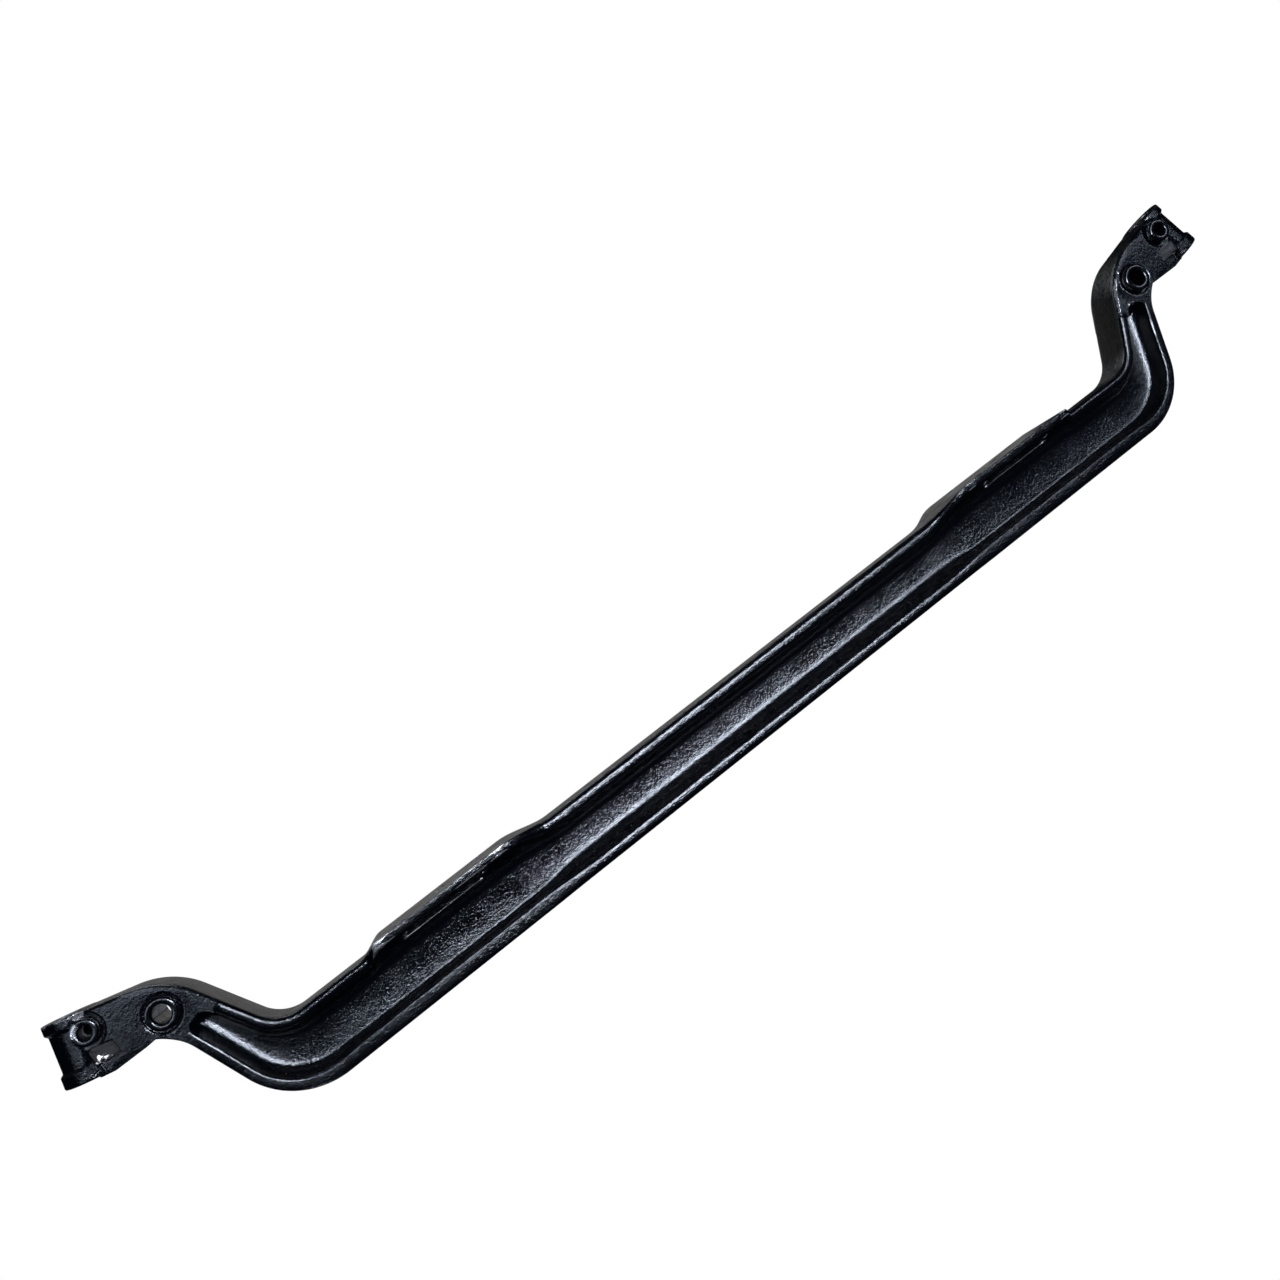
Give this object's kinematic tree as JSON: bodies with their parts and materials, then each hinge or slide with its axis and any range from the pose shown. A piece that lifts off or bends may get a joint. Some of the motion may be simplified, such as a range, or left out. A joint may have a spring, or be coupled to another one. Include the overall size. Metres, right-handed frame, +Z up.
{
  "type": "front axle beam",
  "caption": "Drop-centre forged I-section front axle beam with raised spring pads, rising necks, inclined knuckle pin eyes, sleeved cross bores and steering stop seats.",
  "frame": {"origin": "middle of the beam's length and depth, on the plane of its underside", "axes": "+X along the beam to its right end, +Y to the rear, +Z up from the underside to the spring pads"},
  "size_m": [1.7136, 0.108, 0.2346],
  "materials": {
    "forging_paint": "gloss black over pitted forging skin, chipped at edges",
    "sleeve_steel": "gloss black on turned steel, bare in the bores",
    "stop_block_steel": "thin black paint worn to steel",
    "pin_steel": "dark spring steel"
  },
  "bodies": {
    "root": {"axle_beam": "forging_paint", "key_bore_sleeve_left_front": "sleeve_steel", "cross_bore_sleeve_left_front": "sleeve_steel", "key_bore_sleeve_left_rear": "sleeve_steel", "cross_bore_sleeve_left_rear": "sleeve_steel", "steering_stop_block_left": "stop_block_steel", "stop_block_pin_left": "pin_steel", "key_bore_sleeve_right_front": "sleeve_steel", "cross_bore_sleeve_right_front": "sleeve_steel", "key_bore_sleeve_right_rear": "sleeve_steel", "cross_bore_sleeve_right_rear": "sleeve_steel", "steering_stop_block_right": "stop_block_steel", "stop_block_pin_right": "pin_steel"}
  },
  "joints": []
}
